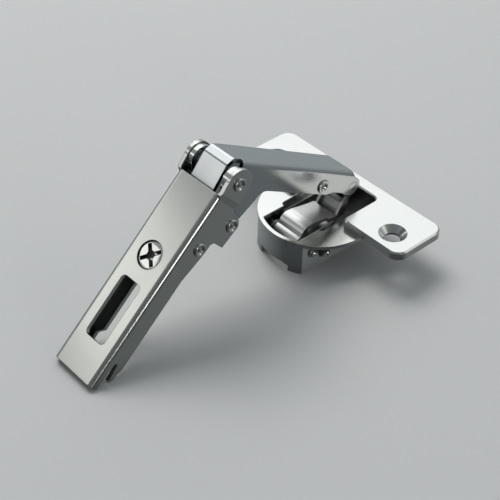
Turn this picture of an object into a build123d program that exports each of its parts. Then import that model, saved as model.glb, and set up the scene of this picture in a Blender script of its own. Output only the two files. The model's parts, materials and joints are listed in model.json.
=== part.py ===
# Pie cut corner hinge: a concealed cabinet hinge with a cranked arm that joins two corner doors.
# Frame: +Z out of the door, z = 0 on the door face, origin midway between the two flange screws,
# +Y away from the door edge, X across the hinge, which is symmetric about x = 0. Sizes in mm.
import os
from math import cos, radians, sin

from build123d import *

os.makedirs("parts", exist_ok=True)

# Cup and flange, y from the cup axis
CUP_D = 35.0
CUP_DEPTH = 10.8
CUP_FLOOR = 1.1
CUP_WALL = 1.2
BODY_W = 18.8
TROUGH_W = 14.6
MOUTH_W = 17.4
MOUTH_FRONT = -6.6
MOUTH_DEPTH = 2.0
CRESCENT_T = 1.1
GUSSET_T = 1.2
GUSSET_YS = (-7.0, 3.0)
RELIEF_W = 11.0
RELIEF_H = 2.5
FLANGE_L = 64.4
FLANGE_FRONT = 0.4
FLANGE_BACK = 18.6
FLANGE_T = 2.5
FLANGE_CORNER_R = 3.5
FLANGE_CHAMFER = 0.45
NOTCH_W = 20.4
NOTCH_BACK = 14.3
NOTCH_CORNER_R = 1.8
SCREW_SPACING = 48.0
SCREW_SETBACK = 6.0
SCREW_HOLE_D = 4.6
COUNTERSINK_D = 8.2

# Pins, rivets and their fits
PIN_R = 1.5
SEAT_FIT = 0.02
RUN_FIT = 0.05
HEAD_R = 2.0
HEAD_T = 0.55
PIN_CHAMFER = 0.3
SIDE_PLAY = 0.1

# Pivots in side view: pins from the cup's front and bottom, nose from the cup axis and the door face
FRONT_PIN_IN = 6.7
FRONT_PIN_UP = 6.1
REAR_PIN_IN = 12.2
REAR_PIN_UP = 3.4
NOSE_Y = 7.85
NOSE_Z = 7.38

# Sheet metal
SHEET = 1.2
BEND_R = 1.5

# Lever, s along it from the knee rivet, v out of its web
LEVER_SLOPE = 29.1
LEVER_W = 11.7
LEVER_WEB_V = 5.3
LEVER_EDGE_V = -2.5
LEVER_WEB_S0 = 2.0
LEVER_WEB_S1 = 49.7
LINK_RIVET_S = 38.5
NOSE_S = 52.2
NOSE_V = 0.7
NOSE_R = 2.75
KNEE_R = 2.6
SPACER_R = 3.9
LEG_R = 2.9
LEG_CORNER_S = 13.65
LEG_CORNER_R = 3.5
NOSE_CUT = 2.0
NOSE_UNDERCUT = 2.4
BELLY_S0 = 44.4
BELLY_S1 = 48.0
BELLY_V = -1.6
BELLY_RAMP = 3.0
CRANK_S = 12.0
CRANK_V = -6.0
HEEL_S = 9.0
HEEL_V = -11.0
TONGUE_GAP = 0.25
TONGUE_FOLD_S = -0.517
TONGUE_BEND_S = -1.936
TONGUE_BEND_V = 2.982
TONGUE_TIP_S = -3.559
TONGUE_TIP_V = -6.204
TONGUE_BEND_R = 0.9

# Hinge arm, d along it from the knee rivet, v out of its web
ARM_SLOPE = 42.9
ARM_W = 16.0
ARM_WEB_D0 = 5.1
ARM_WEB_L = 59.0
ARM_WEB_V = 3.6
ARM_DEPTH = 7.0
EAR_R = 4.3
EAR_OUT = 0.8
LEG_RIVET_D = 10.1
LEG_RIVET_V = -8.2
LEG_LOBE_R = 2.4
ANCHOR_D = 19.6
ANCHOR_V = -2.4
ANCHOR_LOBE_R = 2.6
END_SLOT_D = 56.5
END_SLOT_V = -0.1
END_SLOT_W = 1.4
END_LIP = 1.05
PLATE_SLOT_D = 35.7
PLATE_SLOT_L = 18.4
PLATE_SLOT_W = 7.6
PLATE_SLOT_R = 1.5
BUSH_WALL = 0.8
LIP_D0 = 33.0
LIP_D1 = 51.6
LIP_D2 = 56.0
LIP_W = 3.3
LIP_NECK_W = 1.6

# Adjusting screw
SCREW_D = 27.8
SCREW_R = 3.9
SCREW_PLAY = 0.08
SCREW_SUNK = 0.35
SCREW_L = 5.6
COLLAR_WALL = 1.0
COLLAR_H = 2.2
CROSS_W = 1.4
CROSS_L = 6.2
CROSS_DEPTH = 1.6

# Links
STRAP_W = 9.4
STRAP_WAIST_W = 8.5
STRAP_L = 13.4
STRAP_RISE = 1.6
STRAP_CROWN = 4.55
STRAP_END_UP = 2.95
STRAP_BEND_R = 3.0
ROLL_WALL = 1.0
EYE_WALL = 0.9
CHEEK_T = 0.9
HUB_WALL = 0.5
OPEN_TRAVEL = 1.15
OPEN_FIT = 0.12
OPEN_WALL = 1.0
BAR_FOOT_L = 8.2
BAR_FOOT_RISE = 1.55
BAR_SHIN_L = 9.9
BAR_SHIN_RISE = 3.3
BAR_KNEE_BACK = 0.75
BAR_KNEE_DOWN = 6.6
BAR_NECK_BACK = 3.6
BAR_NECK_DOWN = 3.3
BAR_BEND_R = 1.0

# Closing springs
WIRE_D = 0.9
LEG_WIRE_D = 0.8
COIL_FIT = 0.15
COIL_TURNS = 2
SPRING_LEG_L = 12.0
SPRING_FOOT_L = 3.0

CUP_R = CUP_D / 2
CUP_Y = -SCREW_SETBACK
FRONT_PIN_Y = FRONT_PIN_IN - CUP_R
FRONT_PIN_Z = FRONT_PIN_UP - CUP_DEPTH
REAR_PIN_Y = REAR_PIN_IN - CUP_R
REAR_PIN_Z = REAR_PIN_UP - CUP_DEPTH
BODY_HALF = BODY_W / 2
SIDE = Plane(origin=(0, CUP_Y, 0), x_dir=(0, 1, 0), z_dir=(1, 0, 0))
lever_cos = cos(radians(LEVER_SLOPE))
lever_sin = sin(radians(LEVER_SLOPE))
knee_y = CUP_Y + NOSE_Y - NOSE_S * lever_cos - NOSE_V * lever_sin
knee_z = NOSE_Z + NOSE_S * lever_sin - NOSE_V * lever_cos
KNEE = (0, knee_y, knee_z)
LEVER = Plane(origin=KNEE, x_dir=(0, lever_cos, -lever_sin), z_dir=(1, 0, 0))
arm_cos = cos(radians(ARM_SLOPE))
arm_sin = sin(radians(ARM_SLOPE))
ARM = Plane(origin=KNEE, x_dir=(0, -arm_cos, -arm_sin), z_dir=(-1, 0, 0))
leg_rivet = ARM.from_local_coords((LEG_RIVET_D, LEG_RIVET_V, 0))
leg_in_lever = LEVER.to_local_coords(leg_rivet)
anchor = ARM.from_local_coords((ANCHOR_D, ANCHOR_V, 0))
link_rivet_at = LEVER.from_local_coords((LINK_RIVET_S, 0, 0))
link_y = link_rivet_at.Y - CUP_Y
link_z = link_rivet_at.Z
lever_half = LEVER_W / 2
lever_inner = lever_half - SHEET
arm_half = ARM_W / 2
arm_inner = arm_half - SHEET
ear_inner = arm_inner + EAR_OUT
ear_half = arm_half + EAR_OUT


def hull(circles):
    """Outline drawn round circles given as (centre, radius)."""
    with BuildSketch(mode=Mode.PRIVATE) as outline:
        for centre, radius in circles:
            with Locations(centre):
                Circle(radius)
        make_hull()
    return outline.sketch


def channel(width, depth):
    """Folded U section with its web on top and rounded folds."""
    with BuildSketch(mode=Mode.PRIVATE) as section:
        with Locations((0, -depth / 2)):
            Rectangle(width, depth)
        fillet(section.vertices().group_by(Axis.Y)[-1], BEND_R)
        with Locations((0, -SHEET - depth / 2)):
            Rectangle(width - 2 * SHEET, depth, mode=Mode.SUBTRACT)
    return section.sketch


# Cup with flange, crescents, trough and gussets, one casting
with BuildPart() as cup:
    with BuildSketch(Plane.XY):
        with Locations((0, CUP_Y + (FLANGE_BACK - FLANGE_FRONT) / 2)):
            RectangleRounded(FLANGE_L, FLANGE_BACK + FLANGE_FRONT, FLANGE_CORNER_R)
    extrude(amount=FLANGE_T)
    with BuildSketch(Plane.XY) as notch:
        with Locations((0, CUP_Y + NOTCH_BACK - CUP_R)):
            Rectangle(NOTCH_W, CUP_D)
        fillet(notch.vertices().group_by(Axis.Y)[-1], NOTCH_CORNER_R)
    extrude(amount=FLANGE_T, mode=Mode.SUBTRACT)
    wing_corners = cup.edges().filter_by(Axis.Z).group_by(Axis.Y)[0]
    fillet(wing_corners.filter_by(lambda e: abs(e.center().X) < NOTCH_W), NOTCH_CORNER_R)
    chamfer(cup.faces().sort_by(Axis.Z)[-1].edges(), FLANGE_CHAMFER)
    with BuildSketch(Plane.XY.offset(-CUP_DEPTH)):
        with Locations((0, CUP_Y)):
            Circle(CUP_R)
            Rectangle(BODY_W, CUP_D, mode=Mode.INTERSECT)
    extrude(amount=CUP_DEPTH)
    with BuildSketch(Plane.XY.offset(-CRESCENT_T)):
        with Locations((0, CUP_Y)):
            Circle(CUP_R)
    extrude(amount=CRESCENT_T)
    for gusset_y in GUSSET_YS:
        reach = (CUP_R**2 - gusset_y**2) ** 0.5 - SHEET
        with BuildSketch(Plane.XZ.offset(-CUP_Y - gusset_y)):
            for side in (1, -1):
                with BuildLine():
                    Polyline(
                        (side * BODY_HALF, -CRESCENT_T),
                        (side * reach, -CRESCENT_T),
                        (side * BODY_HALF, -CUP_DEPTH + RELIEF_H),
                        close=True,
                    )
                make_face()
        extrude(amount=GUSSET_T / 2, both=True)
    with BuildSketch(Plane.XY.offset(-CUP_DEPTH + CUP_FLOOR)) as trough:
        with Locations((0, CUP_Y)):
            Circle(CUP_R - CUP_WALL)
            Rectangle(TROUGH_W, CUP_D, mode=Mode.INTERSECT)
        with Locations((0, CUP_Y + NOTCH_BACK + CUP_R)):
            Rectangle(CUP_D, CUP_D, mode=Mode.SUBTRACT)
    extrude(amount=CUP_DEPTH - CUP_FLOOR, mode=Mode.SUBTRACT)
    with BuildSketch(Plane.XY) as mouth:
        with Locations((0, CUP_Y + (NOTCH_BACK + MOUTH_FRONT) / 2)):
            Rectangle(MOUTH_W, NOTCH_BACK - MOUTH_FRONT)
        fillet(mouth.vertices().group_by(Axis.Y)[0], (MOUTH_W - TROUGH_W) / 2)
    extrude(amount=-MOUTH_DEPTH, mode=Mode.SUBTRACT)
    with BuildSketch(Plane.XY.offset(-CUP_DEPTH)):
        with Locations((0, CUP_Y - CUP_R)):
            Rectangle(RELIEF_W, 4 * CUP_WALL)
    extrude(amount=RELIEF_H, mode=Mode.SUBTRACT)
    with Locations(Plane.XY.offset(FLANGE_T)):
        with Locations((SCREW_SPACING / 2, 0), (-SCREW_SPACING / 2, 0)):
            CounterSinkHole(SCREW_HOLE_D / 2, COUNTERSINK_D / 2, counter_sink_angle=90)
    with BuildSketch(SIDE):
        with Locations((FRONT_PIN_Y, FRONT_PIN_Z), (REAR_PIN_Y, REAR_PIN_Z)):
            Circle(PIN_R + SEAT_FIT)
    extrude(amount=BODY_W, both=True, mode=Mode.SUBTRACT)
cup.part.label = "cup"
export_step(cup.part, "parts/cup.step")

# Pins of the two links, fixed in the trough walls
for name, y, z in (("front_pin", FRONT_PIN_Y, FRONT_PIN_Z), ("rear_pin", REAR_PIN_Y, REAR_PIN_Z)):
    with BuildPart() as pin:
        with BuildSketch(SIDE):
            with Locations((y, z)):
                Circle(PIN_R)
        extrude(amount=BODY_HALF + HEAD_T, both=True)
        chamfer(pin.edges().filter_by(GeomType.CIRCLE), PIN_CHAMFER)
    pin.part.label = name
    export_step(pin.part, f"parts/{name}.step")

# Closing springs: grooved coils on the front pin beside the strap, a long leg and a short foot
coil_in = PIN_R + COIL_FIT
coil_r = coil_in + WIRE_D / 2
coil_x = STRAP_W / 2 + SIDE_PLAY
coil_end = coil_x + COIL_TURNS * WIRE_D
for name, side in (("closing_spring_left", -1), ("closing_spring_right", 1)):
    with BuildPart() as spring:
        through_pin = Plane(
            origin=(0, CUP_Y + FRONT_PIN_Y, FRONT_PIN_Z),
            x_dir=(1, 0, 0),
            z_dir=(0, -1, 0),
        )
        with BuildSketch(through_pin):
            for turn in range(COIL_TURNS):
                with Locations((side * (coil_x + (turn + 0.5) * WIRE_D), coil_r)):
                    RegularPolygon(WIRE_D / 2, 6, major_radius=False, rotation=30)
        revolve(axis=Axis((0, CUP_Y + FRONT_PIN_Y, FRONT_PIN_Z), (1, 0, 0)))
        with BuildSketch(Plane.XZ.offset(-CUP_Y - FRONT_PIN_Y)):
            with Locations((side * (coil_x + WIRE_D / 2), FRONT_PIN_Z + coil_r)):
                Circle(LEG_WIRE_D / 2)
        extrude(amount=-SPRING_LEG_L)
        with BuildSketch(Plane.XZ.offset(-CUP_Y - FRONT_PIN_Y)):
            with Locations((side * (coil_end - WIRE_D / 2), FRONT_PIN_Z - coil_r)):
                Circle(LEG_WIRE_D / 2)
        extrude(amount=-SPRING_FOOT_L)
    spring.part.label = name
    export_step(spring.part, f"parts/{name}.step")

# Front link: a saddle strap rolled round its pin, with two cheeks that rise to the lever's nose
roll_r = PIN_R + RUN_FIT + ROLL_WALL
eye_r = PIN_R + RUN_FIT + EYE_WALL
cheek_out = lever_inner - 2 * SIDE_PLAY
cheek_in = cheek_out - CHEEK_T
strap_end_y = FRONT_PIN_Y + STRAP_L
strap_end_z = FRONT_PIN_Z + STRAP_END_UP
with BuildPart() as front_link:
    with BuildSketch(SIDE):
        with BuildLine():
            FilletPolyline(
                (FRONT_PIN_Y, FRONT_PIN_Z + roll_r - SHEET / 2),
                (FRONT_PIN_Y + STRAP_RISE, FRONT_PIN_Z + STRAP_CROWN),
                (FRONT_PIN_Y + STRAP_W / 2, FRONT_PIN_Z + STRAP_CROWN),
                (strap_end_y, strap_end_z),
                radius=STRAP_BEND_R,
            )
        trace(line_width=SHEET)
        with Locations((FRONT_PIN_Y, FRONT_PIN_Z)):
            Circle(roll_r)
            Circle(PIN_R + RUN_FIT, mode=Mode.SUBTRACT)
    extrude(amount=STRAP_W / 2, both=True)
    with BuildSketch(Plane.XY.offset(-CUP_DEPTH)):
        for side in (1, -1):
            with BuildLine():
                waist_near = (side * STRAP_W / 2, CUP_Y + FRONT_PIN_Y + roll_r)
                waist_far = (side * cheek_out, CUP_Y + strap_end_y + SHEET)
                waist_mid = (side * STRAP_WAIST_W / 2, (waist_near[1] + waist_far[1]) / 2)
                ThreePointArc(waist_near, waist_mid, waist_far)
                Polyline(waist_far, (side * STRAP_W, waist_far[1]), (side * STRAP_W, waist_near[1]), waist_near)
            make_face()
    extrude(amount=2 * CUP_DEPTH, mode=Mode.SUBTRACT)
    with BuildSketch(SIDE.offset(cheek_in)) as cheek:
        with BuildLine():
            Polyline(
                (strap_end_y - 2.6, strap_end_z + 0.6),
                (strap_end_y + 0.9, strap_end_z - 0.1),
                (NOSE_Y - 0.9, NOSE_Z - 3.7),
                (NOSE_Y - eye_r, NOSE_Z),
                (NOSE_Y + eye_r, NOSE_Z),
                (strap_end_y + 4.0, strap_end_z - 0.9),
                (strap_end_y + 1.0, strap_end_z - 1.3),
                (strap_end_y - 2.6, strap_end_z - 0.1),
                close=True,
            )
        make_face()
        with Locations((NOSE_Y, NOSE_Z)):
            Circle(eye_r)
            Circle(PIN_R + RUN_FIT, mode=Mode.SUBTRACT)
    extrude(amount=CHEEK_T)
    with BuildSketch(SIDE.offset(-cheek_out)):
        add(cheek.sketch_local)
    extrude(amount=CHEEK_T)
front_link.part.label = "front_link"
export_step(front_link.part, "parts/front_link.step")

# Rear link: a bent bar between the cheeks, with an obround hole for the link rivet (open pivot)
rear_half = cheek_in - SIDE_PLAY
hub_r = PIN_R + RUN_FIT + HUB_WALL
open_r = PIN_R + OPEN_FIT
slot_a = (link_y, link_z)
slot_b = (link_y + OPEN_TRAVEL * lever_cos, link_z - OPEN_TRAVEL * lever_sin)
with BuildPart() as rear_link:
    with BuildSketch(SIDE):
        with BuildLine():
            FilletPolyline(
                (REAR_PIN_Y, REAR_PIN_Z),
                (REAR_PIN_Y + BAR_FOOT_L, REAR_PIN_Z + BAR_FOOT_RISE),
                (REAR_PIN_Y + BAR_SHIN_L, REAR_PIN_Z + BAR_SHIN_RISE),
                (NOSE_Y - BAR_KNEE_BACK, NOSE_Z - BAR_KNEE_DOWN),
                (NOSE_Y - BAR_NECK_BACK, NOSE_Z - BAR_NECK_DOWN),
                slot_a,
                radius=BAR_BEND_R,
            )
        trace(line_width=SHEET)
        add(hull([(slot_a, open_r + OPEN_WALL), (slot_b, open_r + OPEN_WALL)]))
        with Locations((REAR_PIN_Y, REAR_PIN_Z)):
            Circle(hub_r)
        add(hull([(slot_a, open_r), (slot_b, open_r)]), mode=Mode.SUBTRACT)
        with Locations((REAR_PIN_Y, REAR_PIN_Z)):
            Circle(PIN_R + RUN_FIT, mode=Mode.SUBTRACT)
    extrude(amount=rear_half, both=True)
rear_link.part.label = "rear_link"
export_step(rear_link.part, "parts/rear_link.step")

# Lever: folded channel with a cranked leg inside the arm and a tongue bent round the knee
with BuildPart() as lever:
    with BuildSketch(LEVER) as lever_side:
        with BuildLine():
            Polyline(
                (LEVER_WEB_S0, LEVER_WEB_V),
                (LEVER_WEB_S1, LEVER_WEB_V),
                (LEVER_WEB_S1 + NOSE_CUT, LEVER_WEB_V - NOSE_CUT),
                (NOSE_S, NOSE_V - NOSE_R),
                (NOSE_S - NOSE_UNDERCUT, NOSE_V - NOSE_R + SIDE_PLAY),
                (BELLY_S1, BELLY_V),
                (BELLY_S0, BELLY_V),
                (BELLY_S0 - BELLY_RAMP, LEVER_EDGE_V),
                (LEG_CORNER_S, LEVER_EDGE_V),
                (CRANK_S, CRANK_V),
                (HEEL_S, HEEL_V),
                (leg_in_lever.X, leg_in_lever.Y),
                (0, 0),
                (LEVER_WEB_S0, KNEE_R),
                close=True,
            )
        make_face()
        corner = lever_side.vertices().sort_by_distance((LEG_CORNER_S, LEVER_EDGE_V, 0))[0]
        fillet(corner, LEG_CORNER_R)
        with Locations((NOSE_S, NOSE_V)):
            Circle(NOSE_R)
        add(hull([((0, 0), KNEE_R), ((leg_in_lever.X, leg_in_lever.Y), LEG_R)]))
    extrude(amount=lever_half, both=True)
    section_plane = Plane(
        origin=LEVER.from_local_coords((-2 * SPACER_R, LEVER_WEB_V, 0)),
        x_dir=(-1, 0, 0),
        z_dir=(0, lever_cos, -lever_sin),
    )
    with BuildSketch(section_plane):
        add(channel(LEVER_W, 2 * LEVER_WEB_V + LEG_CORNER_S))
    extrude(amount=NOSE_S + 4 * SPACER_R, mode=Mode.INTERSECT)
    with BuildSketch(LEVER):
        with BuildLine():
            FilletPolyline(
                (LEVER_WEB_S0 + SHEET, LEVER_WEB_V - SHEET / 2),
                (TONGUE_FOLD_S, LEVER_WEB_V - SHEET / 2),
                (TONGUE_BEND_S, TONGUE_BEND_V),
                (TONGUE_TIP_S, TONGUE_TIP_V),
                radius=TONGUE_BEND_R,
            )
        trace(line_width=SHEET)
    extrude(amount=lever_inner - TONGUE_GAP, both=True)
    with BuildSketch(LEVER):
        with Locations((0, 0), (leg_in_lever.X, leg_in_lever.Y), (LINK_RIVET_S, 0), (NOSE_S, NOSE_V)):
            Circle(PIN_R + SEAT_FIT)
    extrude(amount=LEVER_W, both=True, mode=Mode.SUBTRACT)
lever.part.label = "lever"
export_step(lever.part, "parts/lever.step")

# Hinge arm: slotted channel with inward lips, walls joggled out to the knee ears, finger at the free end
arm_end = ARM_WEB_D0 + ARM_WEB_L
fold_v = ARM_WEB_V - BEND_R
edge_v = ARM_WEB_V - ARM_DEPTH
with BuildPart() as hinge_arm:
    with BuildSketch(ARM) as arm_side:
        with BuildLine():
            Polyline(
                (0, EAR_R),
                (ARM_WEB_D0, ARM_WEB_V),
                (ARM_WEB_D0 + 1.4, fold_v),
                (arm_end, fold_v),
                (arm_end, END_SLOT_V + END_LIP),
                (END_SLOT_D, END_SLOT_V + END_SLOT_W / 2),
                (END_SLOT_D, END_SLOT_V - END_SLOT_W / 2),
                (61.0, -1.3),
                (60.6, -2.25),
                (56.4, edge_v),
                (29.1, edge_v),
                (23.5, -4.4),
                (ANCHOR_D, ANCHOR_V - ANCHOR_LOBE_R),
                (17.4, ANCHOR_V - ANCHOR_LOBE_R),
                (16.4, -5.8),
                (16.4, -10.0),
                (LEG_RIVET_D, LEG_RIVET_V - LEG_LOBE_R),
                (LEG_RIVET_D - LEG_LOBE_R, LEG_RIVET_V),
                (6.6, -5.0),
                (1.6, -4.0),
                close=True,
            )
        make_face()
        with Locations((0, 0)):
            Circle(EAR_R)
        with Locations((LEG_RIVET_D, LEG_RIVET_V)):
            Circle(LEG_LOBE_R)
        with Locations((ANCHOR_D, ANCHOR_V)):
            Circle(ANCHOR_LOBE_R)
        with Locations((END_SLOT_D, END_SLOT_V)):
            Circle(END_SLOT_W / 2, mode=Mode.SUBTRACT)
    extrude(amount=ear_half, both=True)
    plan = Plane(origin=KNEE, x_dir=(0, -arm_cos, -arm_sin), z_dir=(0, -arm_sin, arm_cos))
    with BuildSketch(plan):
        for side in (1, -1):
            with BuildLine():
                Polyline(
                    (-2 * EAR_R, side * ear_inner),
                    (ARM_WEB_D0 - 0.8, side * ear_inner),
                    (ARM_WEB_D0 + 1.0, side * arm_inner),
                    (2 * arm_end, side * arm_inner),
                    (2 * arm_end, side * arm_half),
                    (ARM_WEB_D0 + 1.0, side * arm_half),
                    (ARM_WEB_D0 - 0.8, side * ear_half),
                    (-2 * EAR_R, side * ear_half),
                    close=True,
                )
            make_face()
    extrude(amount=ARM_W, both=True, mode=Mode.INTERSECT)
    web_plane = Plane(
        origin=ARM.from_local_coords((ARM_WEB_D0, ARM_WEB_V, 0)),
        x_dir=(1, 0, 0),
        z_dir=(0, -arm_cos, -arm_sin),
    )
    with BuildSketch(web_plane):
        add(channel(ARM_W, ARM_WEB_V - END_SLOT_V - END_LIP))
    extrude(amount=ARM_WEB_L)
    web_top = Plane(
        origin=ARM.from_local_coords((0, ARM_WEB_V, 0)),
        x_dir=(0, -arm_cos, -arm_sin),
        z_dir=(0, -arm_sin, arm_cos),
    )
    with BuildSketch(web_top.offset(-ARM_DEPTH)):
        for side in (1, -1):
            with BuildLine():
                Polyline(
                    (LIP_D0, side * arm_half),
                    (LIP_D0, side * arm_inner),
                    (LIP_D0 + LIP_W, side * (arm_inner - LIP_W)),
                    (LIP_D1, side * (arm_inner - LIP_W)),
                    (LIP_D1 + LIP_W - LIP_NECK_W, side * (arm_inner - LIP_NECK_W)),
                    (LIP_D2, side * (arm_inner - LIP_NECK_W)),
                    (LIP_D2, side * arm_half),
                    close=True,
                )
            make_face()
    extrude(amount=SHEET)
    with BuildSketch(web_top.offset(-SHEET)):
        with Locations((SCREW_D, 0)):
            Circle(SCREW_R + SCREW_PLAY + COLLAR_WALL)
    extrude(amount=-COLLAR_H)
    with BuildSketch(web_top):
        with Locations((PLATE_SLOT_D + PLATE_SLOT_L / 2, 0)):
            RectangleRounded(PLATE_SLOT_L, PLATE_SLOT_W, PLATE_SLOT_R)
        with Locations((SCREW_D, 0)):
            Circle(SCREW_R + SCREW_PLAY)
    extrude(amount=-ARM_WEB_V - SHEET, mode=Mode.SUBTRACT)
    with BuildSketch(ARM):
        with Locations((0, 0), (LEG_RIVET_D, LEG_RIVET_V), (ANCHOR_D, ANCHOR_V)):
            Circle(PIN_R + SEAT_FIT)
    extrude(amount=2 * ear_half, both=True, mode=Mode.SUBTRACT)
hinge_arm.part.label = "hinge_arm"
export_step(hinge_arm.part, "parts/hinge_arm.step")

# Adjusting screw with its cross slot
with BuildPart() as adjusting_screw:
    with BuildSketch(web_top.offset(-SCREW_SUNK)):
        with Locations((SCREW_D, 0)):
            Circle(SCREW_R)
    extrude(amount=-SCREW_L)
    chamfer(adjusting_screw.edges().filter_by(GeomType.CIRCLE), SCREW_SUNK)
    with BuildSketch(web_top.offset(-SCREW_SUNK)):
        with Locations((SCREW_D, 0)):
            Rectangle(CROSS_L, CROSS_W, rotation=45)
            Rectangle(CROSS_L, CROSS_W, rotation=-45)
    extrude(amount=-CROSS_DEPTH, mode=Mode.SUBTRACT)
adjusting_screw.part.label = "adjusting_screw"
export_step(adjusting_screw.part, "parts/adjusting_screw.step")

# Rivets with a flat head at each end
rivets = (
    ("link_rivet", link_rivet_at, lever_half),
    ("knee_rivet", Vector(*KNEE), ear_half),
    ("leg_rivet", leg_rivet, arm_half),
    ("anchor_rivet", anchor, arm_half),
)
for name, at, half in rivets:
    with BuildPart() as rivet:
        with BuildSketch(Plane.YZ):
            with Locations((at.Y, at.Z)):
                Circle(PIN_R)
        extrude(amount=half, both=True)
        with BuildSketch(Plane.YZ.offset(half), Plane.YZ.offset(-half - HEAD_T)):
            with Locations((at.Y, at.Z)):
                Circle(HEAD_R)
        extrude(amount=HEAD_T)
    rivet.part.label = name
    export_step(rivet.part, f"parts/{name}.step")

# Nose pin, flush with the lever's walls
with BuildPart() as nose_pin:
    with BuildSketch(SIDE):
        with Locations((NOSE_Y, NOSE_Z)):
            Circle(PIN_R)
    extrude(amount=lever_half, both=True)
nose_pin.part.label = "nose_pin"
export_step(nose_pin.part, "parts/nose_pin.step")

# Spacers between the lever's walls and the arm's
spacers = (
    ("knee_spacer_left", Vector(*KNEE), SPACER_R, -ear_inner, ear_inner - lever_half),
    ("knee_spacer_right", Vector(*KNEE), SPACER_R, lever_half, ear_inner - lever_half),
    ("leg_spacer_left", leg_rivet, LEG_LOBE_R, -arm_inner, arm_inner - lever_half),
    ("leg_spacer_right", leg_rivet, LEG_LOBE_R, lever_half, arm_inner - lever_half),
    ("anchor_bush", anchor, PIN_R + BUSH_WALL, -arm_inner, 2 * arm_inner),
)
for name, at, radius, start, length in spacers:
    with BuildPart() as spacer:
        with BuildSketch(Plane.YZ.offset(start)):
            with Locations((at.Y, at.Z)):
                Circle(radius)
                Circle(PIN_R + SEAT_FIT, mode=Mode.SUBTRACT)
        extrude(amount=length)
    spacer.part.label = name
    export_step(spacer.part, f"parts/{name}.step")
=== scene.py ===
import json
from math import atan2, cos, pi, radians, sin

import bmesh
import bpy
import numpy as np
from bpy.props import FloatProperty, FloatVectorProperty, IntProperty, PointerProperty
from mathutils import Matrix, Vector


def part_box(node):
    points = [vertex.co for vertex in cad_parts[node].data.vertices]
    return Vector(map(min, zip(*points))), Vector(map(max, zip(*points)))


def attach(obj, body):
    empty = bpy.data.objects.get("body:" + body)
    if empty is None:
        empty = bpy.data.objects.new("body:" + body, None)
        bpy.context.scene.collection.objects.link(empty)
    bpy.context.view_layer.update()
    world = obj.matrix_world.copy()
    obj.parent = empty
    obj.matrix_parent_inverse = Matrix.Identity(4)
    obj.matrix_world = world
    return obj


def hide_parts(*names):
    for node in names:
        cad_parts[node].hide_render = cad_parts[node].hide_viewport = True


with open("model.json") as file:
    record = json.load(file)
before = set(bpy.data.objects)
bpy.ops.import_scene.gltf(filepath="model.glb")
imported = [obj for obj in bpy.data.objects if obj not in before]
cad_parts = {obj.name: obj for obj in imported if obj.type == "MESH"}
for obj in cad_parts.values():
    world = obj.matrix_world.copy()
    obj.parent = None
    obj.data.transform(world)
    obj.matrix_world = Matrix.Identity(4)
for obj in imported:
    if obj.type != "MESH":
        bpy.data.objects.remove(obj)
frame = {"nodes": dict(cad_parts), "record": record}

bl_info = {
    "name": "Pie cut corner hinge looks",
    "version": (1, 0, 0),
    "blender": (4, 5, 0),
    "location": "View3D > Sidebar > Hinge",
    "description": "Dresses the packed hinge: nickel finishes, rivets, springs, adjusting screw and studio",
    "category": "Object",
}

MM = 0.001
WELD_GAP = 1e-7
SHARP_EDGE = radians(32)

# Rivets ride on the arm, with heads; pins are flush in the cup's walls
RIVETS = ("link_rivet", "knee_rivet", "leg_rivet", "anchor_rivet")
CUP_PINS = ("front_pin", "rear_pin")

# Dimple section from the middle out, as shares of the dimple's radius and depth
DIMPLE_SECTION = ((0.0, 0.4), (0.3, 0.6), (0.6, 1.0))

# Surface of each material slot: roughness, cloud, grain, edge radius, painted shade of recesses (darkest share of the
# colour), brush lines
SURFACES = {
    "cup_casting": (0.20, 0.08, 0.06, 0.22 * MM, 0.15, 0.0),
    "arm_steel": (0.20, 0.07, 0.03, 0.20 * MM, 0.15, 0.05),
    "lever_steel": (0.16, 0.06, 0.03, 0.20 * MM, 0.15, 0.05),
    "link_steel": (0.32, 0.10, 0.05, 0.20 * MM, 0.65, 0.05),
    "bright_steel": (0.13, 0.05, 0.02, 0.10 * MM, 0.15, 0.0),
    "spring_wire": (0.24, 0.05, 0.02, 0.10 * MM, 0.30, 0.0),
}
SURFACE_INPUTS = ("Roughness", "Cloud", "Grain", "Edge", "Recess Painted Shade", "Brush")

# Soft boxes: place, width and height in metres, power in watts, colour
SOFT_BOXES = {
    "key_box": ((-0.55, 0.10, 0.95), (0.60, 0.60), 4.7, (1.0, 1.0, 0.99)),
    "back_box": ((-0.50, 0.55, 0.62), (0.60, 0.60), 0.79, (1.0, 1.0, 1.0)),
    "front_box": ((-0.617, -0.688, 0.470), (0.60, 0.16), 0.29, (1.0, 0.99, 0.96)),
    "right_box": ((0.62, 0.60, 0.66), (0.50, 0.50), 0.50, (1.0, 0.96, 0.89)),
    "top_box": ((-0.60, 0.11, 1.04), (0.90, 0.90), 2.30, (1.0, 1.0, 1.0)),
    "edge_box": ((0.85, -0.24, 0.16), (0.24, 0.24), 0.60, (1.0, 1.0, 1.0)),
}
BOX_TARGET = (0.0, -0.035, 0.01)


def length(name, description, mm):
    """A length setting, written in millimetres and kept in metres."""
    return FloatProperty(name=name, description=description, default=mm * MM, precision=5, unit="LENGTH")


def angle(name, description, degrees):
    """An angle setting, written in degrees and kept in radians."""
    return FloatProperty(name=name, description=description, default=radians(degrees), subtype="ANGLE")


def count(name, description, number):
    """A whole number of mesh steps."""
    return IntProperty(name=name, description=description, default=number, min=3)


def colour(name, description, rgb):
    """A linear colour setting."""
    return FloatVectorProperty(name=name, description=description, default=rgb, min=0.0, max=1.0, subtype="COLOR")


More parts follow.
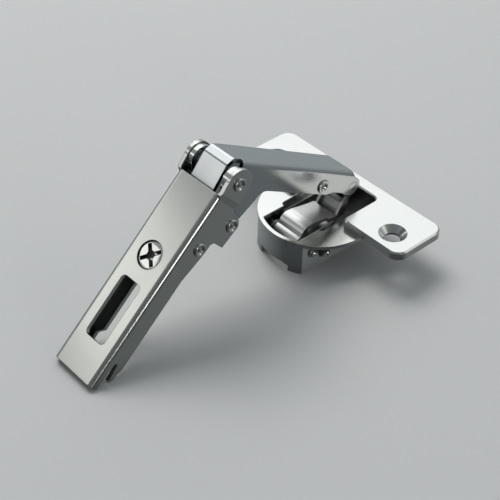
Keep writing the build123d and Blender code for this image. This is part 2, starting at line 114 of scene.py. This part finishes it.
class FinishSettings(bpy.types.PropertyGroup):
    """Colour of the plating on each material slot."""

    cup_casting: colour("Cup", "Satin nickel on the die-cast cup", (0.80, 0.80, 0.78))
    arm_steel: colour("Arm", "Satin nickel on the slotted arm", (0.72, 0.72, 0.69))
    lever_steel: colour("Lever", "Cooler nickel on the cranked lever", (0.64, 0.66, 0.67))
    link_steel: colour("Links", "Soft nickel on the two links", (0.80, 0.80, 0.78))
    bright_steel: colour("Rivets", "Bright nickel on rivets, pins and the screw", (0.76, 0.76, 0.74))
    spring_wire: colour("Springs", "Bare spring wire", (0.42, 0.43, 0.44))


class RivetSettings(bpy.types.PropertyGroup):
    """Sizes of the rivets and pins."""

    shank_r: length("Shank radius", "Radius of every shank and pin", 1.5)
    head_r: length("Head radius", "Radius of a rivet head", 2.0)
    head_t: length("Head thickness", "Height of a rivet head", 0.55)
    rim_r: length("Rim radius", "Rounding of a dimpled end", 0.35)
    flush_rim_r: length("Flush rim radius", "Rounding of the flush nose pin", 0.0875)
    dimple_r: length("Dimple radius", "Radius of the punched dimple", 1.25)
    dimple: length("Dimple depth", "Depth of the punched dimple", 0.5)
    lip: length("Dimple lip", "Bevel at the dimple's mouth", 0.1)
    segments: count("Segments", "Steps round a rivet", 48)


class SpringSettings(bpy.types.PropertyGroup):
    """Wire and coil of the closing springs."""

    wire_d: length("Wire diameter", "Diameter of the spring wire", 0.7)
    coil_r: length("Coil radius", "Radius of the coil's centre line", 2.1)
    turns: FloatProperty(name="Turns", description="Turns of the coil", default=1.5, min=0.5)
    leg_l: length("Leg length", "Reach of the long leg from the pin", 12.0)
    foot_l: length("Foot length", "Reach of the short foot from the pin", 3.0)
    steps_per_turn: count("Steps per turn", "Steps along one turn of the coil", 40)
    around: count("Steps round", "Steps round the wire", 12)


class ScrewSettings(bpy.types.PropertyGroup):
    """Head, cross slot and thread of the adjusting screw."""

    slope: angle("Slope", "Fall of the arm's web that the screw stands square to", 42.9)
    radius: length("Radius", "Radius of the head and thread", 3.9)
    height: length("Length", "Length of the screw", 5.6)
    rim: length("Rim", "Rounding of the head and bevel of the point", 0.4)
    lip: length("Slot lip", "Bevel at the slot's mouth", 0.12)
    slot_w: length("Slot width", "Width of each arm of the cross", 1.15)
    slot_l: length("Slot length", "Length across the cross", 6.6)
    slot_depth: length("Slot depth", "Depth of the cross", 1.5)
    well_r: length("Well radius", "Radius of the round well in the middle", 1.25)
    cone: length("Well cone", "Extra depth of the well's point", 0.5)
    thread_from: length("Thread start", "Depth at which the thread starts", 3.4)
    thread_depth: length("Thread depth", "Depth of the thread", 0.35)
    thread_pitch: length("Thread pitch", "Pitch of the thread", 0.8)
    thread_steps: count("Thread steps", "Rings along the thread", 22)


class StudioSettings(bpy.types.PropertyGroup):
    """Camera, floor and room of the picture."""

    eye: FloatVectorProperty(
        name="Eye", description="Place of the camera", default=(0.1979, -0.2123, 0.2228), subtype="XYZ", unit="LENGTH"
    )
    azimuth: angle("Azimuth", "Turn of the view about the upright axis", 47.69)
    elevation: angle("Elevation", "Height of the view above level", 39.97)
    roll: angle("Roll", "Tilt of the picture", -1.12)
    lens: FloatProperty(name="Lens", description="Focal length in millimetres", default=89.84, unit="CAMERA")
    sensor: FloatProperty(name="Sensor", description="Sensor width in millimetres", default=36.0, unit="CAMERA")
    floor_size: length("Floor size", "Side of the square floor", 8000.0)
    floor_colour: colour("Floor", "Plain pale grey of the floor", (0.66, 0.66, 0.66))
    room_colour: colour("Room", "Tint of the room's light", (0.585, 0.64, 0.655))


def node_box(node):
    """Lowest and highest corner of a CAD node as arrays, in metres."""
    low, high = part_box(node)
    return np.array(low), np.array(high)


def ring_faces(rings, segments):
    """Quads between successive rings of equal size: step j of ring i joins step j + 1 and ring i + 1."""
    i, j = np.meshgrid(np.arange(rings - 1), np.arange(segments), indexing="ij")
    k = (j + 1) % segments
    quads = np.stack([i * segments + j, (i + 1) * segments + j, (i + 1) * segments + k, i * segments + k], -1)
    return quads.reshape(-1, 4)


def lathe(profile, centre, axis, cross, segments):
    """A profile of (radius, along) turned round an axis: centre + along * axis + radius * spoke.

    The spoke is cos(turn) * cross + sin(turn) * (axis x cross). Ends close at radius 0.
    """
    axis, cross = np.array(axis, float), np.array(cross, float)
    turn = np.linspace(0, 2 * pi, segments, endpoint=False)
    spoke = np.outer(np.cos(turn), cross) + np.outer(np.sin(turn), np.cross(axis, cross))
    profile = np.array(profile, float)
    points = centre + profile[:, 1, None, None] * axis + profile[:, 0, None, None] * spoke[None]
    return points.reshape(-1, 3), ring_faces(len(profile), segments)


def wire_tube(path, radius, around):
    """Round wire along a path that nowhere runs along X, with flat ends: path + radius * ring.

    The ring stands square to the path, from X made square to it and the cross product of both.
    """
    ahead = np.gradient(path, axis=0)
    ahead /= np.linalg.norm(ahead, axis=1)[:, None]
    first = np.array([1.0, 0, 0]) - ahead[:, :1] * ahead
    first /= np.linalg.norm(first, axis=1)[:, None]
    second = np.cross(ahead, first)
    turn = np.linspace(0, 2 * pi, around, endpoint=False)
    ring = np.cos(turn)[None, :, None] * first[:, None] + np.sin(turn)[None, :, None] * second[:, None]
    points = (path[:, None] + radius * ring).reshape(-1, 3)
    side = ring_faces(len(path), around)[:, ::-1]
    ends = [np.arange(around)[::-1], np.arange(len(points) - around, len(points))]
    return points, [*side, *ends]


def round_arc(centre, radius, start, end, steps):
    """Points (radius, along) of a profile arc, with angles in degrees from the radius direction."""
    turn = np.radians(np.linspace(start, end, steps))
    return list(zip(centre[0] + radius * np.cos(turn), centre[1] + radius * np.sin(turn)))


def mesh_piece(node, name, vertices, faces, body, slot):
    """Adds a welded smooth mesh at the origin, riding on a body in place of a CAD node."""
    mesh = bpy.data.meshes.new(name)
    mesh.from_pydata(vertices.tolist(), [], [face.tolist() for face in faces])
    welded = bmesh.new()
    welded.from_mesh(mesh)
    bmesh.ops.remove_doubles(welded, verts=welded.verts, dist=WELD_GAP)
    welded.to_mesh(mesh)
    welded.free()
    mesh.materials.append(slot_material(slot))
    piece = bpy.data.objects.new(name, mesh)
    bpy.context.scene.collection.objects.link(piece)
    mesh.shade_smooth()
    mesh.set_sharp_from_angle(angle=SHARP_EDGE)
    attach(piece, body)
    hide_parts(node)


def noise(nodes, scale, detail):
    """A noise texture of one scale."""
    texture = nodes.new("ShaderNodeTexNoise")
    texture.inputs["Scale"].default_value = scale
    texture.inputs["Detail"].default_value = detail
    return texture


def varied(nodes, links, texture, amount, base):
    """Socket of base + amount * (noise - 0.5)."""
    centred = nodes.new("ShaderNodeMath")
    centred.operation = "SUBTRACT"
    centred.inputs[1].default_value = 0.5
    spread = nodes.new("ShaderNodeMath")
    spread.operation = "MULTIPLY_ADD"
    links.new(texture.outputs["Fac"], centred.inputs[0])
    links.new(centred.outputs[0], spread.inputs[0])
    links.new(amount, spread.inputs[1])
    links.new(base, spread.inputs[2])
    return spread.outputs[0]


def plated_surface():
    """Shared node group of plated metal.

    Roughness is clouded and brushed along the sheet, the normal has rounded edges and a faint grain, and
    Shade is painted shade: it darkens the colour in recesses by how much of the sky they see.
    """
    group = bpy.data.node_groups.new("plated_surface", "ShaderNodeTree")
    for name in SURFACE_INPUTS:
        group.interface.new_socket(name, in_out="INPUT", socket_type="NodeSocketFloat")
    for name, kind in (("Roughness", "Float"), ("Normal", "Vector"), ("Shade", "Float")):
        group.interface.new_socket(name, in_out="OUTPUT", socket_type="NodeSocket" + kind)
    nodes, links = group.nodes, group.links
    given = nodes.new("NodeGroupInput").outputs
    result = nodes.new("NodeGroupOutput").inputs
    place = nodes.new("ShaderNodeTexCoord").outputs["Object"]

    cloud = noise(nodes, 90.0, 3.0)
    stretch = nodes.new("ShaderNodeMapping")
    stretch.inputs["Scale"].default_value = (1600.0, 45.0, 45.0)
    lines = noise(nodes, 1.0, 2.0)
    links.new(place, cloud.inputs["Vector"])
    links.new(place, stretch.inputs["Vector"])
    links.new(stretch.outputs["Vector"], lines.inputs["Vector"])
    clouded = varied(nodes, links, cloud, given["Cloud"], given["Roughness"])
    links.new(varied(nodes, links, lines, given["Brush"], clouded), result["Roughness"])

    grain = noise(nodes, 2600.0, 2.0)
    edge = nodes.new("ShaderNodeBevel")
    edge.samples = 6
    bump = nodes.new("ShaderNodeBump")
    bump.inputs["Distance"].default_value = 0.02 * MM
    links.new(place, grain.inputs["Vector"])
    links.new(given["Edge"], edge.inputs["Radius"])
    links.new(edge.outputs["Normal"], bump.inputs["Normal"])
    links.new(grain.outputs["Fac"], bump.inputs["Height"])
    links.new(given["Grain"], bump.inputs["Strength"])
    links.new(bump.outputs["Normal"], result["Normal"])

    # Painted shade: ambient occlusion darkens the base colour in recesses and between parts, down to the recess
    # input's level
    painted_shade_ao = nodes.new("ShaderNodeAmbientOcclusion")
    painted_shade_ao.samples = 6
    painted_shade_ao.inputs["Distance"].default_value = 10 * MM
    level = nodes.new("ShaderNodeMapRange")
    level.inputs["From Min"].default_value = 0.15
    level.inputs["From Max"].default_value = 0.80
    links.new(painted_shade_ao.outputs["AO"], level.inputs["Value"])
    links.new(given["Recess Painted Shade"], level.inputs["To Min"])
    links.new(level.outputs["Result"], result["Shade"])
    return group


def slot_material(slot):
    """Plated metal of a record slot: its colour times a painted shade of recesses, on the shared surface."""
    name = slot + "_finish"
    if name in bpy.data.materials:
        return bpy.data.materials[name]
    material = bpy.data.materials.new(name)
    material.use_nodes = True
    nodes, links = material.node_tree.nodes, material.node_tree.links
    shader = nodes["Principled BSDF"]
    shader.inputs["Metallic"].default_value = 1.0
    surface = nodes.new("ShaderNodeGroup")
    surface.node_tree = bpy.data.node_groups.get("plated_surface") or plated_surface()
    for socket, value in zip(SURFACE_INPUTS, SURFACES[slot]):
        surface.inputs[socket].default_value = value
    tint = nodes.new("ShaderNodeVectorMath")
    tint.operation = "SCALE"
    tint.inputs["Vector"].default_value = getattr(bpy.context.scene.hinge_finishes, slot)
    # The colour is multiplied by painted shade in recesses
    links.new(surface.outputs["Shade"], tint.inputs["Scale"])
    links.new(tint.outputs["Vector"], shader.inputs["Base Color"])
    links.new(surface.outputs["Roughness"], shader.inputs["Roughness"])
    links.new(surface.outputs["Normal"], shader.inputs["Normal"])
    return material


class HINGE_OT_finishes(bpy.types.Operator):
    """Gives every CAD node the plated metal of its material slot."""

    bl_idname = "hinge.finishes"
    bl_label = "Finishes"

    def execute(self, context):
        for row in frame["record"]["subparts"]:
            piece = frame["nodes"][row["node"]]
            piece.data.materials.clear()
            piece.data.materials.append(slot_material(row["material_slot"]))
        return {"FINISHED"}


class HINGE_OT_rivets(bpy.types.Operator):
    """Turns the rivets and link pins with rounded, dimpled ends."""

    bl_idname = "hinge.rivets"
    bl_label = "Rivets and pins"

    def execute(self, context):
        size = context.scene.hinge_rivets
        for node in RIVETS:
            neck = (size.head_r, -size.head_t), (size.shank_r, -size.head_t)
            self.turn(node, "arm_body", "bright_steel", self.dimpled_end(size, size.head_r, neck), size)
        flush = [(0.0, 0.0), *self.rounded_rim(size.shank_r, size.flush_rim_r)]
        self.turn("nose_pin", "arm_body", "lever_steel", flush, size)
        for node in CUP_PINS:
            self.turn(node, "cup_body", "bright_steel", self.dimpled_end(size, size.shank_r), size)
        return {"FINISHED"}

    def rounded_rim(self, radius, rim):
        """Quarter circle from the end face round to the side."""
        return round_arc((radius - rim, -rim), rim, 90, 0, 7)

    def dimpled_end(self, size, radius, neck=()):
        """End profile of (radius, height over the end face): dimple, lip, rim and the neck under a head."""
        dimple = [(size.dimple_r * out, -size.dimple * deep) for out, deep in DIMPLE_SECTION]
        mouth = [(size.dimple_r, -size.lip), (size.dimple_r + size.lip, 0.0)]
        return [*dimple, *mouth, *self.rounded_rim(radius, size.rim_r), *neck]

    def turn(self, node, body, slot, end, size):
        """One rivet or pin along X: an end profile, and its mirror image at the other end."""
        low, high = node_box(node)
        centre = (low + high) / 2 * np.array([0, 1, 1])
        far = [(radius, high[0] + height) for radius, height in end]
        near = [(radius, -along) for radius, along in far]
        vertices, faces = lathe([*far, *reversed(near)], centre, (1, 0, 0), (0, 1, 0), size.segments)
        mesh_piece(node, node + "_turned", vertices, faces, body, slot)


class HINGE_OT_springs(bpy.types.Operator):
    """Winds the two closing springs on the front pin."""

    bl_idname = "hinge.springs"
    bl_label = "Closing springs"

    def execute(self, context):
        size = context.scene.hinge_springs
        pin = sum(node_box("front_pin")) / 2
        for node, side in (("closing_spring_left", -1), ("closing_spring_right", 1)):
            inner, outer = np.sort(np.abs([corner[0] for corner in node_box(node)])) * side
            self.wind(node, pin, inner, outer, size)
        return {"FINISHED"}

    def wind(self, node, pin, inner, outer, size):
        """One spring: long leg, helix round the pin from its inner to its outer side, short foot."""
        wire = size.wire_d / 2 * np.sign(outer)
        start, end = inner + wire, outer - wire
        turn = np.linspace(0.25, 0.25 + size.turns, int(size.turns * size.steps_per_turn)) * 2 * pi
        across = np.linspace(start, end, len(turn))
        coil = np.stack([across, pin[1] + size.coil_r * np.cos(turn), pin[2] + size.coil_r * np.sin(turn)], -1)
        leg = [[start, pin[1] + reach, pin[2] + size.coil_r] for reach in (size.leg_l, size.leg_l / 2)]
        foot = [[end, pin[1] + size.foot_l, pin[2] - size.coil_r]]
        vertices, faces = wire_tube(np.concatenate([leg, coil, foot]), size.wire_d / 2, size.around)
        mesh_piece(node, node + "_wound", vertices, faces, "cup_body", "spring_wire")


class HINGE_OT_screw(bpy.types.Operator):
    """Cuts the adjusting screw: cross slot, rim and thread."""

    bl_idname = "hinge.screw"
    bl_label = "Adjusting screw"

    def execute(self, context):
        size = context.scene.hinge_screw
        out = np.array([0.0, -sin(size.slope), cos(size.slope)])
        along = np.array([0.0, -cos(size.slope), -sin(size.slope)])
        slot_u = (along + np.array([1.0, 0.0, 0.0])) / 2**0.5
        slot_v = np.cross(out, slot_u)
        top = sum(node_box("adjusting_screw")) / 2 + out * size.height / 2
        turn, mouth = self.cross(size)
        rings = [*self.head(size, mouth), *self.thread(size, turn)]
        spoke = np.outer(np.cos(turn), slot_u) + np.outer(np.sin(turn), slot_v)
        spread = [np.broadcast_to(radius, turn.shape)[:, None] * spoke + height * out for radius, height in rings]
        points = top + np.concatenate(spread)
        faces = ring_faces(len(rings), len(turn))
        mesh_piece("adjusting_screw", "adjusting_screw_cut", points, faces, "screw_body", "bright_steel")
        return {"FINISHED"}

    def cross(self, size):
        """Angles round the head and the radius of the slot's mouth at each.

        The mouth is the nearer of an arm's side and its end, and never less than the round well.
        """
        corner = atan2(size.slot_w, size.slot_l)
        well = np.arcsin(size.slot_w / 2 / size.well_r)
        eighth = np.unique(np.concatenate([np.linspace(0, pi / 4, 8), [corner, well]]))
        quarter = np.concatenate([eighth, pi / 2 - eighth[-2:0:-1]])
        turn = np.concatenate([quarter + k * pi / 2 for k in range(4)])
        near = np.minimum(turn % (pi / 2), pi / 2 - turn % (pi / 2))
        side = size.slot_w / 2 / np.maximum(np.sin(near), 1e-6)
        mouth = np.minimum(side, size.slot_l / 2 / np.cos(near))
        return turn, np.maximum(mouth, size.well_r)

    def head(self, size, mouth):
        """Rings of (radius, height) from the well's point up the slot, over the face and round the rim."""
        face_r = size.radius - size.rim
        rings = [(0.0, -size.slot_depth - size.cone)]
        rings += [(mouth * share, -size.slot_depth) for share in (0.5, 0.93)]
        rings += [(mouth, -size.lip), (mouth + size.lip / 2, 0.0), (mouth * 0.4 + face_r * 0.6, 0.0)]
        return rings + round_arc((face_r, -size.rim), size.rim, 90, 0, 5)

    def thread(self, size, turn):
        """Rings down the thread, a triangle wave of depth / pitch + turn that fades in, and the flat point."""
        rings = []
        for depth in np.linspace(size.thread_from, size.height - size.rim, size.thread_steps):
            wave = 2 * np.abs((depth / size.thread_pitch + turn / (2 * pi)) % 1.0 - 0.5)
            fade = min(1.0, (depth - size.thread_from) / size.thread_pitch)
            rings.append((size.radius - size.thread_depth * wave * fade, -depth))
        point_r = size.radius - size.rim - size.thread_depth
        return [*rings, (point_r, -size.height), (0.0, -size.height)]


class HINGE_OT_stage(bpy.types.Operator):
    """Floor, lights and camera."""

    bl_idname = "hinge.stage"
    bl_label = "Studio"

    def execute(self, context):
        studio = context.scene.hinge_studio
        self.floor(context.scene, studio)
        self.lights(context.scene)
        context.scene.world = self.room(studio)
        self.camera(context.scene, studio)
        context.scene.view_settings.view_transform = "Standard"
        return {"FINISHED"}

    def floor(self, scene, studio):
        """Plain pale floor that the cup stands on, left out of the metal's reflections."""
        half = studio.floor_size / 2
        z = node_box("cup")[0][2]
        mesh = bpy.data.meshes.new("floor")
        mesh.from_pydata([(-half, -half, z), (half, -half, z), (half, half, z), (-half, half, z)], [], [(0, 1, 2, 3)])
        material = bpy.data.materials.new("floor")
        material.use_nodes = True
        shader = material.node_tree.nodes["Principled BSDF"]
        shader.inputs["Base Color"].default_value = (*studio.floor_colour, 1.0)
        shader.inputs["Roughness"].default_value = 0.9
        mesh.materials.append(material)
        floor = bpy.data.objects.new("floor", mesh)
        scene.collection.objects.link(floor)
        floor.visible_glossy = False

    def lights(self, scene):
        """Soft boxes that face the hinge; the key lights the floor and isn't mirrored in the metal."""
        for name, (place, size, power, tint) in SOFT_BOXES.items():
            light = bpy.data.lights.new(name, "AREA")
            light.shape = "RECTANGLE"
            light.size, light.size_y = size
            light.energy = power
            light.color = tint
            lamp = bpy.data.objects.new(name, light)
            lamp.location = place
            lamp.rotation_mode = "QUATERNION"
            lamp.rotation_quaternion = (Vector(BOX_TARGET) - Vector(place)).to_track_quat("-Z", "Y")
            scene.collection.objects.link(lamp)
            lamp.visible_glossy = name != "key_box"

    def room(self, studio):
        """Dim room, lighter above and towards the far left, where the lever's web looks."""
        world = bpy.data.worlds.new("room")
        world.use_nodes = True
        nodes, links = world.node_tree.nodes, world.node_tree.links
        back = nodes["Background"]
        back.inputs["Color"].default_value = (*studio.room_colour, 1.0)
        place = nodes.new("ShaderNodeTexCoord").outputs["Generated"]
        facing = nodes.new("ShaderNodeVectorMath")
        facing.operation = "DOT_PRODUCT"
        facing.inputs[1].default_value = (-0.60, 0.79, 0.25)
        left = nodes.new("ShaderNodeMapRange")
        left.inputs["From Min"].default_value = -0.6
        left.inputs["From Max"].default_value = 1.0
        left.inputs["To Min"].default_value = 0.09
        left.inputs["To Max"].default_value = 0.58
        apart = nodes.new("ShaderNodeSeparateXYZ")
        above = nodes.new("ShaderNodeMapRange")
        above.interpolation_type = "SMOOTHSTEP"
        above.inputs["From Max"].default_value = 0.25
        above.inputs["To Max"].default_value = 0.11
        both = nodes.new("ShaderNodeMath")
        links.new(place, facing.inputs[0])
        links.new(facing.outputs["Value"], left.inputs["Value"])
        links.new(place, apart.inputs[0])
        links.new(apart.outputs["Z"], above.inputs["Value"])
        links.new(left.outputs["Result"], both.inputs[0])
        links.new(above.outputs["Result"], both.inputs[1])
        links.new(both.outputs[0], back.inputs["Strength"])
        return world

    def camera(self, scene, studio):
        """Camera at the photograph's viewing angle."""
        az, el, roll = studio.azimuth, studio.elevation, studio.roll
        level = Vector((cos(az), sin(az), 0))
        ahead = Vector((-sin(az) * cos(el), cos(az) * cos(el), -sin(el)))
        below = ahead.cross(level)
        right = cos(roll) * level + sin(roll) * below
        down = -sin(roll) * level + cos(roll) * below
        data = bpy.data.cameras.new("camera")
        data.sensor_width = studio.sensor
        data.lens = studio.lens
        data.clip_start = 0.01
        camera = bpy.data.objects.new("camera", data)
        turn = Matrix((right, -down, -ahead)).transposed()
        camera.matrix_world = Matrix.Translation(studio.eye) @ turn.to_4x4()
        scene.collection.objects.link(camera)
        scene.camera = camera


SETTINGS = {
    "hinge_finishes": FinishSettings,
    "hinge_rivets": RivetSettings,
    "hinge_springs": SpringSettings,
    "hinge_screw": ScrewSettings,
    "hinge_studio": StudioSettings,
}
STEPS = (HINGE_OT_finishes, HINGE_OT_rivets, HINGE_OT_springs, HINGE_OT_screw, HINGE_OT_stage)


class HINGE_PT_panel(bpy.types.Panel):
    """Panel with the hinge's steps and settings."""

    bl_idname = "HINGE_PT_panel"
    bl_label = "Hinge"
    bl_space_type = "VIEW_3D"
    bl_region_type = "UI"
    bl_category = "Hinge"

    def draw(self, context):
        for step, (name, group) in zip(STEPS, SETTINGS.items()):
            box = self.layout.box()
            box.operator(step.bl_idname)
            for setting in group.__annotations__:
                box.prop(getattr(context.scene, name), setting)


def register():
    for name, group in SETTINGS.items():
        bpy.utils.register_class(group)
        setattr(bpy.types.Scene, name, PointerProperty(type=group))
    for step in (*STEPS, HINGE_PT_panel):
        bpy.utils.register_class(step)


def unregister():
    for step in reversed((*STEPS, HINGE_PT_panel)):
        bpy.utils.unregister_class(step)
    for name, group in reversed(list(SETTINGS.items())):
        delattr(bpy.types.Scene, name)
        bpy.utils.unregister_class(group)


def main():
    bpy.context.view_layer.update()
    register()
    bpy.ops.hinge.finishes()
    bpy.ops.hinge.rivets()
    bpy.ops.hinge.springs()
    bpy.ops.hinge.screw()
    bpy.ops.hinge.stage()


if __name__ == "__main__":
    main()
